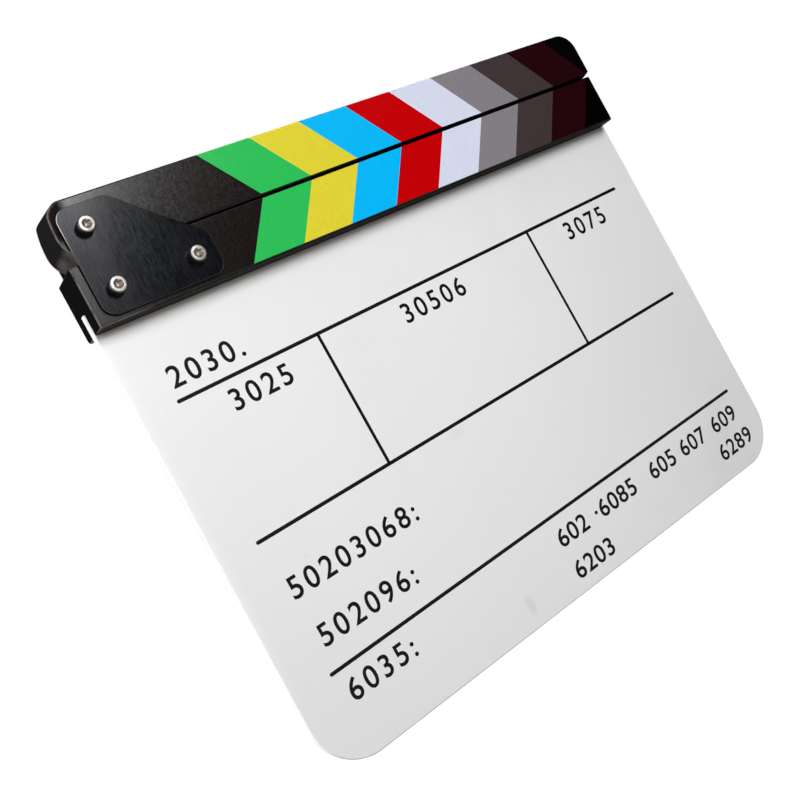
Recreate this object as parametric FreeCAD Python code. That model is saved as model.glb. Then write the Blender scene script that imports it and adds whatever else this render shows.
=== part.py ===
import FreeCAD, Part
import math
import os

# Clapperboard: a white slate panel held in a grooved lower stick, and a clap stick hinged above it
# between two black plates. All sizes are in millimetres.
# The origin is the middle of the slate's bottom edge, half way through the slate's thickness.
# X runs to the reader's right, Y away from the reader and Z up. The clap stick is closed.

Vector = FreeCAD.Vector

# Board and slate
board_height = 245.0
slate_width = 300.0
slate_thickness = 4.0
slate_corner_radius = 22.5
slate_edge_break = 0.5

# Lower stick, with the groove that the slate's top edge slides into
stick_depth = 21.5
stick_front_wall = 9.1
stick_edge_radius = 0.8
lower_stick_height = 25.7
lower_left_inset = 0.5
lower_right_inset = 2.0
groove_depth = 9.4
groove_side_gap = 0.1
groove_end_gap = 0.2
flange_chamfer_depth = 1.5
flange_chamfer_height = 3.0

# Clap stick, with a round heel about the pivot so that it can swing up clear of the lower stick
upper_stick_height = 25.5
upper_left_inset = 1.8
upper_right_inset = 0.1
closing_gap = 0.4
swing_gap = 0.3
heel_radius = 11.5
crown_radius = 48.0
crown_corner_radius = 3.0
crown_front_radius = 8.7
crown_front_flare = 1.6
crown_front_relief = 0.2
tip_corner_radius = 9.5
toe_length = 5.0
toe_rise = 2.0
toe_corner_radius = 1.2

# Printed facings on the fronts of the two sticks
facing_thickness = 0.2
facing_margin = 0.8

# Hinge plates, one on each side of the sticks
plate_thickness = 1.5
plate_left_margin = 3.7
plate_bottom_margin = 2.0
plate_top_margin = 4.2
plate_width = 54.0
plate_top_width = 22.3
plate_nose_height = 17.5
plate_corner_radius = 6.0
plate_edge_break = 0.25
plate_screw_left = 8.7
plate_screw_right = 10.1
groove_to_screw_wall = 0.5

# M4 socket head cap screws, nuts and washers
screw_diameter = 4.0
screw_head_diameter = 7.0
screw_head_height = 4.0
screw_head_edge = 0.4
screw_tip_chamfer = 0.5
socket_width = 3.0
socket_depth = 2.2
socket_lead = 0.25
screw_hole_gap = 0.1
thread_gap = 0.02
nut_width = 7.0
nut_height = 3.2
lock_nut_height = 5.0
lock_nut_collar_diameter = 6.0
washer_diameter = 9.0
washer_thickness = 0.8
cone_washer_diameter = 8.6
cone_washer_thickness = 0.5
cone_washer_rise = 0.4
thread_end = 0.6

# Pivot sleeve and nylon thrust washers in the clap stick
sleeve_wall = 1.0
running_gap = 0.05
thrust_washer_diameter = 14.0
thrust_washer_thickness = 1.0
thrust_seat_gap = 0.2
press_gap = 0.02

# Countersunk screws that hold the slate in the groove, from behind
slate_screw_count = 3
slate_screw_diameter = 2.5
slate_screw_head_diameter = 4.7
slate_screw_point = 2.5
slate_screw_cover = 4.0
slate_screw_end_inset = 18.0
slate_screw_plate_margin = 22.0
slate_screw_hole_gap = 0.2
slate_screw_wall = 0.3
cross_slot_width = 0.7
cross_slot_length = 2.6
cross_slot_depth = 1.0

# Magnets that hold the sticks shut, near their free ends
magnet_diameter = 8.0
magnet_thickness = 3.0
magnet_end_inset = 13.0
magnet_edge_break = 0.2

# Heights
upper_bottom = board_height - upper_stick_height
lower_top = upper_bottom - closing_gap
lower_bottom = lower_top - lower_stick_height
groove_top = lower_bottom + groove_depth
slate_top = groove_top - groove_end_gap

# Depths, from the reader's side to the back
slate_front = -slate_thickness / 2
slate_back = slate_thickness / 2
groove_front = slate_front - groove_side_gap
groove_back = slate_back + groove_side_gap
stick_front = groove_front - stick_front_wall
stick_back = stick_front + stick_depth
front_plate_back = stick_front - facing_thickness
front_plate_front = front_plate_back - plate_thickness
rear_plate_back = stick_back + plate_thickness
swing_front = stick_front + swing_gap
swing_back = stick_back - swing_gap
stick_middle = (stick_front + stick_back) / 2

# Ends
slate_left = -slate_width / 2
slate_right = slate_width / 2
lower_left = slate_left + lower_left_inset
lower_right = slate_right - lower_right_inset
upper_left = slate_left + upper_left_inset
upper_right = slate_right - upper_right_inset
plate_left = lower_left + plate_left_margin
plate_right = plate_left + plate_width
plate_bottom = lower_bottom + plate_bottom_margin
plate_top = board_height - plate_top_margin

# Centres of the three hinge screws, as (x, z)
screw_hole_radius = screw_diameter / 2 + screw_hole_gap
plate_screw_height = groove_top + groove_to_screw_wall + screw_hole_radius
pivot_centre = (upper_left + heel_radius, upper_bottom + heel_radius)
plate_screw_centres = [
    (plate_left + plate_screw_left, plate_screw_height),
    (plate_right - plate_screw_right, plate_screw_height),
]

# Centre of the round that the clap stick's crowned corner is eased to at the front, as (x, z)
eased_corner_height = board_height + crown_front_relief - crown_front_radius
eased_corner_rise = eased_corner_height - pivot_centre[1]
eased_corner_left = upper_left + crown_radius - math.sqrt(crown_radius ** 2 - eased_corner_rise ** 2)
eased_corner_centre = (eased_corner_left - crown_front_relief + crown_front_radius, eased_corner_height)

# Pivot stack
sleeve_bore_radius = screw_diameter / 2 + running_gap
sleeve_radius = sleeve_bore_radius + sleeve_wall
front_thrust_face = front_plate_back + running_gap
front_thrust_seat = front_thrust_face + thrust_washer_thickness
rear_thrust_face = stick_back - running_gap
rear_thrust_seat = rear_thrust_face - thrust_washer_thickness

# Slate screws and magnets
slate_screw_height = (
    lower_bottom + flange_chamfer_height + slate_screw_wall + slate_screw_head_diameter / 2
)
slate_screw_first = plate_right + slate_screw_plate_margin
slate_screw_last = lower_right - slate_screw_end_inset
slate_screw_step = (slate_screw_last - slate_screw_first) / (slate_screw_count - 1)
slate_screw_centres = [
    (slate_screw_first + index * slate_screw_step, slate_screw_height)
    for index in range(slate_screw_count)
]
slate_screw_tip = stick_front + slate_screw_cover
magnet_x = lower_right - magnet_end_inset

through_margin = 1.0
match_tolerance = 0.001
into_back = Vector(0, 1, 0)


def block(x_range, y_range, z_range):
    """Box between two values on each axis."""
    corner = Vector(x_range[0], y_range[0], z_range[0])
    return Part.makeBox(
        x_range[1] - x_range[0], y_range[1] - y_range[0], z_range[1] - z_range[0], corner
    )


def rod(centre, y_start, y_end, radius):
    """Round bar along Y at an (x, z) centre."""
    start = Vector(centre[0], y_start, centre[1])
    return Part.makeCylinder(radius, y_end - y_start, start, into_back)


def ring(centre, y_start, y_end, outer_radius, inner_radius):
    """Flat ring along Y at an (x, z) centre."""
    hole = rod(centre, y_start - through_margin, y_end + through_margin, inner_radius)
    return rod(centre, y_start, y_end, outer_radius).cut(hole)


def drill(shape, centres, radius):
    """Shape with through holes along Y at the (x, z) centres."""
    box = shape.BoundBox
    for centre in centres:
        shape = shape.cut(rod(centre, box.YMin - through_margin, box.YMax + through_margin, radius))
    return shape


def hexagon(centre, y_start, y_end, width):
    """Hexagonal bar along Y, of the given width across its flats, with two corners level."""
    corner = width / math.sqrt(3)
    points = []
    for index in range(7):
        angle = index * math.pi / 3
        points.append(
            Vector(centre[0] + corner * math.cos(angle), y_start, centre[1] + corner * math.sin(angle))
        )
    face = Part.Face(Part.makePolygon(points))
    return face.extrude(Vector(0, y_end - y_start, 0))


def turned(centre, profile):
    """Solid turned about a Y axis at an (x, z) centre, from (radius, y) points in order."""
    points = [Vector(centre[0] + radius, y, centre[1]) for radius, y in profile]
    face = Part.Face(Part.makePolygon(points + points[:1]))
    return face.revolve(Vector(centre[0], 0, centre[1]), into_back, 360)


def flat_outline(points):
    """Face in the XZ plane through (x, z) corner points."""
    corners = [Vector(x, 0, z) for x, z in points]
    return Part.Face(Part.makePolygon(corners + corners[:1]))


def slab(face, y_start, y_end):
    """Flat face in the XZ plane made into a solid between two depths."""
    moved = face.copy()
    moved.translate(Vector(0, y_start, 0))
    return moved.extrude(Vector(0, y_end - y_start, 0))


def edges_across(shape, x, z):
    """Edges that run along Y at one (x, z) corner of a shape."""
    found = []
    for edge in shape.Edges:
        box = edge.BoundBox
        across = box.XLength < match_tolerance and box.ZLength < match_tolerance
        if across and abs(box.XMin - x) < match_tolerance and abs(box.ZMin - z) < match_tolerance:
            found.append(edge)
    return found


def edges_at_depth(shape, depths):
    """Edges that lie in one of the planes at the given depths."""
    found = []
    for edge in shape.Edges:
        box = edge.BoundBox
        if box.YLength < match_tolerance and any(abs(box.YMin - depth) < match_tolerance for depth in depths):
            found.append(edge)
    return found


def round_corner(shape, x, z, radius):
    """Shape with the corner along Y at (x, z) rounded."""
    return shape.makeFillet(radius, edges_across(shape, x, z))


def slate_panel():
    """White panel with its two lower corners rounded and its edges eased."""
    panel = block((slate_left, slate_right), (slate_front, slate_back), (0, slate_top))
    for x in (slate_left, slate_right):
        panel = round_corner(panel, x, 0, slate_corner_radius)
    panel = panel.makeChamfer(slate_edge_break, edges_at_depth(panel, (slate_front, slate_back)))
    return drill(panel, slate_screw_centres, slate_screw_diameter / 2 + slate_screw_hole_gap)


def slate_screw(centre):
    """Countersunk screw with a cross slot, its head flush with the back of the stick."""
    head_radius = slate_screw_head_diameter / 2
    shank_radius = slate_screw_diameter / 2
    neck = stick_back - (head_radius - shank_radius)
    body = turned(centre, [
        (0, stick_back),
        (head_radius, stick_back),
        (shank_radius, neck),
        (shank_radius, slate_screw_tip + slate_screw_point),
        (0, slate_screw_tip),
    ])
    slot_y = (stick_back - cross_slot_depth, stick_back + through_margin)
    long_side = (-cross_slot_length / 2, cross_slot_length / 2)
    short_side = (-cross_slot_width / 2, cross_slot_width / 2)
    for across, up in ((long_side, short_side), (short_side, long_side)):
        x_range = (centre[0] + across[0], centre[0] + across[1])
        z_range = (centre[1] + up[0], centre[1] + up[1])
        body = body.cut(block(x_range, slot_y, z_range))
    return body


def slate_screw_hole(centre):
    """Space that a slate screw fills in the lower stick, a fit's gap wider all round."""
    head_radius = slate_screw_head_diameter / 2 + press_gap
    shank_radius = slate_screw_diameter / 2 + press_gap
    return turned(centre, [
        (0, stick_back + through_margin),
        (head_radius, stick_back + through_margin),
        (head_radius, stick_back),
        (shank_radius, stick_back - (head_radius - shank_radius)),
        (shank_radius, slate_screw_tip + slate_screw_point - press_gap),
        (0, slate_screw_tip - press_gap),
    ])


def magnet(bottom, top):
    """Disc magnet between two heights, with eased edges."""
    disc = Part.makeCylinder(magnet_diameter / 2, top - bottom, Vector(magnet_x, stick_middle, bottom))
    rims = [edge for edge in disc.Edges if edge.BoundBox.ZLength < match_tolerance]
    return disc.makeChamfer(magnet_edge_break, rims)


def magnet_pocket(bottom, top):
    """Pocket that a magnet sits in, a press fit's gap wider."""
    corner = Vector(magnet_x, stick_middle, bottom)
    return Part.makeCylinder(magnet_diameter / 2 + press_gap, top - bottom, corner)


def lower_stick():
    """Wooden bar with a groove for the slate, and a chamfer below the flange behind it."""
    bar = block((lower_left, lower_right), (stick_front, stick_back), (lower_bottom, lower_top))
    bar = bar.makeFillet(stick_edge_radius, bar.Edges)
    beyond = (lower_left - through_margin, lower_right + through_margin)
    groove_z = (lower_bottom - through_margin, groove_top)
    bar = bar.cut(block(beyond, (groove_front, groove_back), groove_z))
    chamfer_points = [
        Vector(beyond[0], stick_back - flange_chamfer_depth, lower_bottom),
        Vector(beyond[0], stick_back, lower_bottom + flange_chamfer_height),
        Vector(beyond[0], stick_back, lower_bottom),
    ]
    chamfer = Part.Face(Part.makePolygon(chamfer_points + chamfer_points[:1]))
    bar = bar.cut(chamfer.extrude(Vector(beyond[1] - beyond[0], 0, 0)))
    bar = drill(bar, plate_screw_centres, screw_hole_radius)
    for centre in slate_screw_centres:
        bar = bar.cut(slate_screw_hole(centre))
    return bar.cut(magnet_pocket(lower_top - magnet_thickness, lower_top + through_margin))


def lower_facing():
    """Printed facing on the front of the lower stick."""
    x_range = (lower_left + facing_margin, lower_right - facing_margin)
    z_range = (lower_bottom + facing_margin, lower_top - facing_margin)
    sheet = block(x_range, (front_plate_back, stick_front), z_range)
    return drill(sheet, plate_screw_centres, screw_hole_radius)


def clap_outline(y_start, y_end):
    """Solid of the clap stick's outline: round heel, crowned end, rounded tip and raised toe."""
    pivot_x, pivot_z = pivot_centre
    diagonal = heel_radius / math.sqrt(2)
    crown_x = upper_left + crown_radius
    crown_rise = board_height - pivot_z
    crown_top = crown_x - math.sqrt(crown_radius ** 2 - crown_rise ** 2)
    crown_half = math.asin(crown_rise / crown_radius) / 2
    crown_mid = (
        crown_x - crown_radius * math.cos(crown_half),
        pivot_z + crown_radius * math.sin(crown_half),
    )
    heel_start = Vector(pivot_x, 0, upper_bottom)
    heel_mid = Vector(pivot_x - diagonal, 0, pivot_z - diagonal)
    heel_end = Vector(upper_left, 0, pivot_z)
    top_left = Vector(crown_top, 0, board_height)
    top_right = Vector(upper_right, 0, board_height)
    toe_end = Vector(upper_right, 0, upper_bottom + toe_rise)
    toe_start = Vector(upper_right - toe_length, 0, upper_bottom)
    edges = [
        Part.Arc(heel_start, heel_mid, heel_end).toShape(),
        Part.Arc(heel_end, Vector(crown_mid[0], 0, crown_mid[1]), top_left).toShape(),
        Part.LineSegment(top_left, top_right).toShape(),
        Part.LineSegment(top_right, toe_end).toShape(),
        Part.LineSegment(toe_end, toe_start).toShape(),
        Part.LineSegment(toe_start, heel_start).toShape(),
    ]
    solid = slab(Part.Face(Part.Wire(edges)), y_start, y_end)
    solid = round_corner(solid, crown_top, board_height, crown_corner_radius)
    solid = round_corner(solid, upper_right, board_height, tip_corner_radius)
    return round_corner(solid, upper_right, toe_end.z, toe_corner_radius)


def ease_crown(solid, eased):
    """Solid without what its crowned corner has outside a round one about the eased corner's centre."""
    box = solid.BoundBox
    x_range = (box.XMin - through_margin, eased_corner_centre[0])
    z_range = (eased_corner_centre[1], box.ZMax + through_margin)
    return solid.cut(block(x_range, (box.YMin, box.YMax), z_range).cut(eased))


def upper_stick():
    """Wooden clap stick with its pivot bore, thrust washer seats and magnet pocket."""
    bar = clap_outline(swing_front, swing_back)
    bar = bar.makeFillet(stick_edge_radius, edges_at_depth(bar, (swing_front, swing_back)))
    eased_start = Vector(eased_corner_centre[0], swing_front, eased_corner_centre[1])
    back_radius = crown_front_radius + crown_front_flare
    eased = Part.makeCone(
        crown_front_radius, back_radius, swing_back - swing_front, eased_start, into_back
    )
    eased = eased.makeFillet(stick_edge_radius, edges_at_depth(eased, (swing_front,)))
    bar = ease_crown(bar, eased)
    bar = drill(bar, [pivot_centre], sleeve_radius + press_gap)
    seat_radius = thrust_washer_diameter / 2 + thrust_seat_gap
    bar = bar.cut(rod(pivot_centre, swing_front - through_margin, front_thrust_seat, seat_radius))
    bar = bar.cut(rod(pivot_centre, rear_thrust_seat, swing_back + through_margin, seat_radius))
    return bar.cut(magnet_pocket(upper_bottom - through_margin, upper_bottom + magnet_thickness))


def upper_facing():
    """Printed facing on the front of the clap stick, open round the front thrust washer."""
    facing_front = swing_front - facing_thickness
    eased = rod(eased_corner_centre, facing_front, swing_front, crown_front_radius)
    blank = ease_crown(clap_outline(facing_front, swing_front), eased)
    front = [face for face in blank.Faces if abs(face.CenterOfMass.y - facing_front) < match_tolerance][0]
    sheet = front.makeOffset2D(-facing_margin).extrude(Vector(0, facing_thickness, 0))
    return drill(sheet, [pivot_centre], thrust_washer_diameter / 2 + thrust_seat_gap)


def hinge_plate(y_start, y_end):
    """Black hinge plate: square behind the pivot, sloping down to a nose over the lower stick."""
    plate_corners = [
        (plate_left, plate_bottom),
        (plate_right, plate_bottom),
        (plate_right, plate_bottom + plate_nose_height),
        (plate_left + plate_top_width, plate_top),
        (plate_left, plate_top),
    ]
    plate = slab(flat_outline(plate_corners), y_start, y_end)
    for x, z in plate_corners:
        plate = round_corner(plate, x, z, plate_corner_radius)
    plate = plate.makeChamfer(plate_edge_break, edges_at_depth(plate, (y_start, y_end)))
    return drill(plate, plate_screw_centres + [pivot_centre], screw_hole_radius)


def cap_screw(centre, tip):
    """Socket head cap screw from the front plate to a tip behind the nut."""
    seat = front_plate_front
    top = seat - screw_head_height
    head_radius = screw_head_diameter / 2
    shank_radius = screw_diameter / 2
    lead_radius = socket_width / math.sqrt(3) + socket_lead
    screw = turned(centre, [
        (0, top),
        (head_radius - screw_head_edge, top),
        (head_radius, top + screw_head_edge),
        (head_radius, seat),
        (shank_radius, seat),
        (shank_radius, tip - screw_tip_chamfer),
        (shank_radius - screw_tip_chamfer, tip),
        (0, tip),
    ])
    screw = screw.cut(hexagon(centre, top - through_margin, top + socket_depth, socket_width))
    lead = turned(centre, [(0, top), (lead_radius, top), (0, top + lead_radius)])
    return screw.cut(lead)


def hex_nut(centre, y_start, height):
    """Hexagonal nut with its corners chamfered on the outer side."""
    corner = nut_width / math.sqrt(3)
    flat = nut_width / 2
    blank = hexagon(centre, y_start, y_start + height, nut_width)
    envelope = turned(centre, [
        (0, y_start),
        (corner, y_start),
        (corner, y_start + height - (corner - flat)),
        (flat, y_start + height),
        (0, y_start + height),
    ])
    return drill(blank.common(envelope), [centre], screw_diameter / 2 + thread_gap)


def lock_nut(centre, y_start):
    """Hexagonal nut with the round collar that holds its nylon insert."""
    nut = hex_nut(centre, y_start, nut_height)
    collar_radius = lock_nut_collar_diameter / 2
    collar = ring(
        centre, y_start + nut_height, y_start + lock_nut_height, collar_radius,
        screw_diameter / 2 + thread_gap,
    )
    outer_rim = [
        edge for edge in edges_at_depth(collar, (y_start + lock_nut_height,))
        if edge.Curve.Radius > collar_radius - thread_gap
    ]
    return nut.fuse(collar.makeFillet((lock_nut_height - nut_height) / 2, outer_rim)).removeSplitter()


def cone_washer(centre, y_start):
    """Conical spring washer that sets the drag of the pivot."""
    inner = screw_hole_radius
    outer = cone_washer_diameter / 2
    return turned(centre, [
        (inner, y_start + cone_washer_rise),
        (outer, y_start),
        (outer, y_start + cone_washer_thickness),
        (inner, y_start + cone_washer_rise + cone_washer_thickness),
    ])


def plain_washer(centre):
    """Plain washer against the back of the rear plate."""
    return ring(
        centre, rear_plate_back, rear_plate_back + washer_thickness, washer_diameter / 2, screw_hole_radius
    )


def group(solids):
    """Separate solids that share one node."""
    return Part.makeCompound(solids)


def build():
    """Every piece of the clapperboard, by its node name."""
    washer_back = rear_plate_back + washer_thickness
    cone_back = washer_back + cone_washer_rise + cone_washer_thickness
    plate_screw_tip = washer_back + nut_height + thread_end
    pivot_screw_tip = cone_back + lock_nut_height + thread_end
    thrust_radius = thrust_washer_diameter / 2
    return {
        "slate_panel": slate_panel(),
        "slate_screws": group([slate_screw(centre) for centre in slate_screw_centres]),
        "lower_stick": lower_stick(),
        "lower_stick_facing": lower_facing(),
        "lower_magnet": magnet(lower_top - magnet_thickness, lower_top),
        "front_hinge_plate": hinge_plate(front_plate_front, front_plate_back),
        "rear_hinge_plate": hinge_plate(stick_back, rear_plate_back),
        "plate_screws": group([cap_screw(centre, plate_screw_tip) for centre in plate_screw_centres]),
        "plate_washers": group([plain_washer(centre) for centre in plate_screw_centres]),
        "plate_nuts": group([hex_nut(centre, washer_back, nut_height) for centre in plate_screw_centres]),
        "pivot_screw": cap_screw(pivot_centre, pivot_screw_tip),
        "pivot_washer": plain_washer(pivot_centre),
        "pivot_spring_washer": cone_washer(pivot_centre, washer_back),
        "pivot_lock_nut": lock_nut(pivot_centre, cone_back),
        "upper_stick": upper_stick(),
        "upper_stick_facing": upper_facing(),
        "upper_magnet": magnet(upper_bottom, upper_bottom + magnet_thickness),
        "pivot_sleeve": ring(
            pivot_centre, front_thrust_seat, rear_thrust_seat, sleeve_radius, sleeve_bore_radius
        ),
        "front_thrust_washer": ring(
            pivot_centre, front_thrust_face, front_thrust_seat, thrust_radius, screw_hole_radius
        ),
        "rear_thrust_washer": ring(
            pivot_centre, rear_thrust_seat, rear_thrust_face, thrust_radius, screw_hole_radius
        ),
    }


def main():
    """Write each piece to its own STEP file."""
    os.makedirs("parts", exist_ok=True)
    for node, shape in build().items():
        shape.exportStep("parts/" + node + ".step")
        print(node, len(shape.Solids), shape.isValid(), round(shape.Volume, 2))


if __name__ == "__main__":
    main()
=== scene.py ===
"""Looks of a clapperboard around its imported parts.

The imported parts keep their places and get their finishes. The slate gets its printed rules and numerals,
the hinge gets its finished screws, and the board stands on a white floor in soft studio light.

Lengths are in metres. The origin is the middle of the slate's bottom edge, half way through its thickness.
X runs to the reader's right, Y away from the reader and Z up.
"""

import logging
import math
from collections.abc import Callable, Mapping, Sequence
from dataclasses import dataclass
from enum import Enum
from functools import cached_property, reduce
from typing import Protocol

import bpy
from mathutils import Matrix, Vector


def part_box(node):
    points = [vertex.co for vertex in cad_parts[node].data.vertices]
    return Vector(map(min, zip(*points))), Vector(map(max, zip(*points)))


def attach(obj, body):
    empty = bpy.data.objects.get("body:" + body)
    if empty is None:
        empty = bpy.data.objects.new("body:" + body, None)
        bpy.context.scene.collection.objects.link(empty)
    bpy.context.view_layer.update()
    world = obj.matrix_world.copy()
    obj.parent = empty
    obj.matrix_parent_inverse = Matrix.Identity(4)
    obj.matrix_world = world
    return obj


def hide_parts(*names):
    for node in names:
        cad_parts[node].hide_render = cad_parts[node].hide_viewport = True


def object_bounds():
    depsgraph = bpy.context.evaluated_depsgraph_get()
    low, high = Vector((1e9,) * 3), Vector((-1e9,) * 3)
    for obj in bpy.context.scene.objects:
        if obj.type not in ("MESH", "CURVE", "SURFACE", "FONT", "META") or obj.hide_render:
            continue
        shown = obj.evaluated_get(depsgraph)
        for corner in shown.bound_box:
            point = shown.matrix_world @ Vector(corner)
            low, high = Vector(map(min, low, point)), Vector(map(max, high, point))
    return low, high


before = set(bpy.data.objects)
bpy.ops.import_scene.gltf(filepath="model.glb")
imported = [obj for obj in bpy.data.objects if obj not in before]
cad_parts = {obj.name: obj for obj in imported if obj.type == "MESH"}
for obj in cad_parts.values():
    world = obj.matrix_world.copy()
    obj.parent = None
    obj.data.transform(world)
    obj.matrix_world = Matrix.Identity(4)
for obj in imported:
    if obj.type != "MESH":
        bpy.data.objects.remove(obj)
cad_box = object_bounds()

log = logging.getLogger("clapperboard")

Colour = tuple[float, float, float, float]
Pair = tuple[float, float]
Triple = tuple[float, float, float]

MM = 0.001
MATING_HEIGHT = (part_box("lower_stick")[1].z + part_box("upper_stick")[0].z) / 2
DULL_ROUGHNESS = 0.7
BOARD = "board"
SOCKET_MARK = "in_socket"


def srgb(red: int, green: int, blue: int) -> Colour:
    """Turn a screen colour into the linear colour that shaders take.

    Args:
        red: Red from 0 to 255.
        green: Green from 0 to 255.
        blue: Blue from 0 to 255.

    Returns:
        Linear red, green, blue and an alpha of 1.
    """
    linear = []
    for part in (red, green, blue):
        share = part / 255
        linear.append(share / 12.92 if share <= 0.04045 else ((share + 0.055) / 1.055) ** 2.4)
    return (linear[0], linear[1], linear[2], 1.0)


def grey(level: float) -> Colour:
    """Give a grey of a linear level from 0 to 1."""
    return (level, level, level, 1.0)


class Slot(Enum):
    """Material slots of the record."""

    PRINT = "printed_facing"
    SCREW = "nickel_screw"


class Element(Enum):
    """Elements of a mesh that can be selected in edit mode."""

    CORNER = "VERT"
    EDGE = "EDGE"
    FACE = "FACE"


class Stripe(Enum):
    """Colours of the printed stripes, in order from the hinge to the free end."""

    HINGE_BLACK = srgb(22, 16, 15)
    GREEN = srgb(46, 195, 90)
    YELLOW = srgb(231, 216, 57)
    BLUE = srgb(8, 189, 254)
    RED = srgb(201, 0, 6)
    WHITE = srgb(220, 226, 245)
    MID_GREY = srgb(136, 131, 136)
    DARK_GREY = srgb(67, 56, 57)
    MAROON = srgb(36, 6, 13)
    TIP_BLACK = srgb(3, 2, 2)


class Wire:
    """Output socket of a shader node, on which arithmetic adds Math nodes."""

    def __init__(self, graph: "Graph", socket: bpy.types.NodeSocket) -> None:
        """Keep the socket and the graph that new nodes go into."""
        self.graph = graph
        self.socket = socket

    def math(self, operation: str, first: "Wire | float", second: "Wire | float" = 0.0) -> "Wire":
        """Add one Math node.

        Args:
            operation: Name of the operation.
            first: First value.
            second: Second value, where the operation has one.

        Returns:
            The node's result.
        """
        return self.graph.node("ShaderNodeMath", {"operation": operation}, {0: first, 1: second})

    def __add__(self, other: "Wire | float") -> "Wire":
        """Sum."""
        return self.math("ADD", self, other)

    def __radd__(self, other: float) -> "Wire":
        """Sum, with the number first."""
        return self.math("ADD", other, self)

    def __sub__(self, other: "Wire | float") -> "Wire":
        """Difference."""
        return self.math("SUBTRACT", self, other)

    def __rsub__(self, other: float) -> "Wire":
        """Difference, with the number first."""
        return self.math("SUBTRACT", other, self)

    def __mul__(self, other: "Wire | float") -> "Wire":
        """Product."""
        return self.math("MULTIPLY", self, other)

    def __rmul__(self, other: float) -> "Wire":
        """Product, with the number first."""
        return self.math("MULTIPLY", other, self)

    def __truediv__(self, other: "Wire | float") -> "Wire":
        """Quotient."""
        return self.math("DIVIDE", self, other)

    def __abs__(self) -> "Wire":
        """Size without its sign."""
        return self.math("ABSOLUTE", self)

    def floor(self) -> "Wire":
        """Next whole number below."""
        return self.math("FLOOR", self)

    def largest(self, other: "Wire") -> "Wire":
        """The larger of two values."""
        return self.math("MAXIMUM", self, other)

    def swing(self, amount: float) -> "Wire":
        """Noise from 0 to 1 as a swing of this amount about 0."""
        return amount * (self - 0.5)

    def blend(self, other: "Wire", share: float) -> "Wire":
        """Two values added up, with this share of the other one."""
        return (1 - share) * self + share * other


class Graph:
    """Shader nodes of one material or of the world, filled by expressions."""

    def __init__(self, tree: bpy.types.NodeTree) -> None:
        """Start from an empty node tree."""
        tree.nodes.clear()
        self.tree = tree

    def node(
        self,
        kind: str,
        settings: Mapping[str, object] | None = None,
        inputs: Mapping[str | int, object] | None = None,
        output: str | int = 0,
    ) -> Wire:
        """Add a node of any type.

        Args:
            kind: The node's type.
            settings: The node's own settings, which are set first. "stops" are a colour ramp's places and
                colours, and "steps" is its interpolation.
            inputs: Values or links of its sockets, by the socket's identifier, name or number.
            output: Identifier, name or number of the output to give back.

        Returns:
            The chosen output.
        """
        made = self.tree.nodes.new(kind)
        for name, value in (settings or {}).items():
            if name == "stops":
                self.set_stops(made.color_ramp, value)
            elif name == "steps":
                made.color_ramp.interpolation = value
            else:
                setattr(made, name, value)
        for key, value in (inputs or {}).items():
            socket = self.find(made.inputs, key)
            if isinstance(value, Wire):
                self.tree.links.new(value.socket, socket)
            else:
                socket.default_value = value
        return Wire(self, self.find(made.outputs, output))

    @staticmethod
    def find(sockets: Sequence[bpy.types.NodeSocket], key: str | int) -> bpy.types.NodeSocket:
        """Find a socket.

        Args:
            sockets: A node's inputs or outputs.
            key: The socket's number, identifier or name.

        Returns:
            The socket.
        """
        if isinstance(key, int):
            return sockets[key]
        for socket in sockets:
            if socket.identifier == key:
                return socket
        return sockets[key]

    @staticmethod
    def set_stops(ramp: bpy.types.ColorRamp, stops: Sequence[tuple[float, Colour]]) -> None:
        """Set a colour ramp's stops.

        Args:
            ramp: The ramp, with the two stops that a new one has.
            stops: Place from 0 to 1 and colour of each stop, in order.
        """
        while len(ramp.elements) < len(stops):
            ramp.elements.new(1.0)
        for element, (place, colour) in zip(ramp.elements, stops):
            element.position = place
            element.color = colour

    def place(self) -> Wire:
        """Place on the object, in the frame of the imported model."""
        return self.node("ShaderNodeTexCoord", output="Object")

    def facing(self) -> tuple[Wire, Wire, Wire]:
        """Parts along X, Y and Z of the surface's own direction on the object."""
        return self.axes(self.node("ShaderNodeTexCoord", output="Normal"))

    def axes(self, vector: Wire) -> tuple[Wire, Wire, Wire]:
        """Split a vector.

        Args:
            vector: The vector.

        Returns:
            Its X, Y and Z.
        """
        split = self.node("ShaderNodeSeparateXYZ", inputs={"Vector": vector})
        outputs = split.socket.node.outputs
        return (Wire(self, outputs[0]), Wire(self, outputs[1]), Wire(self, outputs[2]))

    def mix(self, share: Wire | float, first: Wire | Colour, second: Wire | Colour) -> Wire:
        """Mix two colours.

        Args:
            share: Share of the second colour.
            first: First colour.
            second: Second colour.

        Returns:
            The mixed colour.
        """
        sockets = {"Factor_Float": share, "A_Color": first, "B_Color": second}
        return self.node("ShaderNodeMix", {"data_type": "RGBA"}, sockets, "Result_Color")

    def principled(self, inputs: Mapping[str | int, object]) -> Wire:
        """Add the usual shader of a surface, with these values or links of its sockets."""
        return self.node("ShaderNodeBsdfPrincipled", inputs=inputs)

    def blend(self, share: Wire, first: Wire, second: Wire) -> Wire:
        """Mix two shaders, with this share of the second."""
        return self.node("ShaderNodeMixShader", inputs={0: share, 1: first, 2: second})

    def output(self, shader: Wire, kind: str = "ShaderNodeOutputMaterial") -> None:
        """Join a shader to the output node."""
        made = self.tree.nodes.new(kind)
        self.tree.links.new(shader.socket, made.inputs["Surface"])


class Finish(Protocol):
    """Finish of a surface."""

    name: str

    def dress(self, graph: Graph) -> Wire:
        """Give the shader of the finish."""


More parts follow.
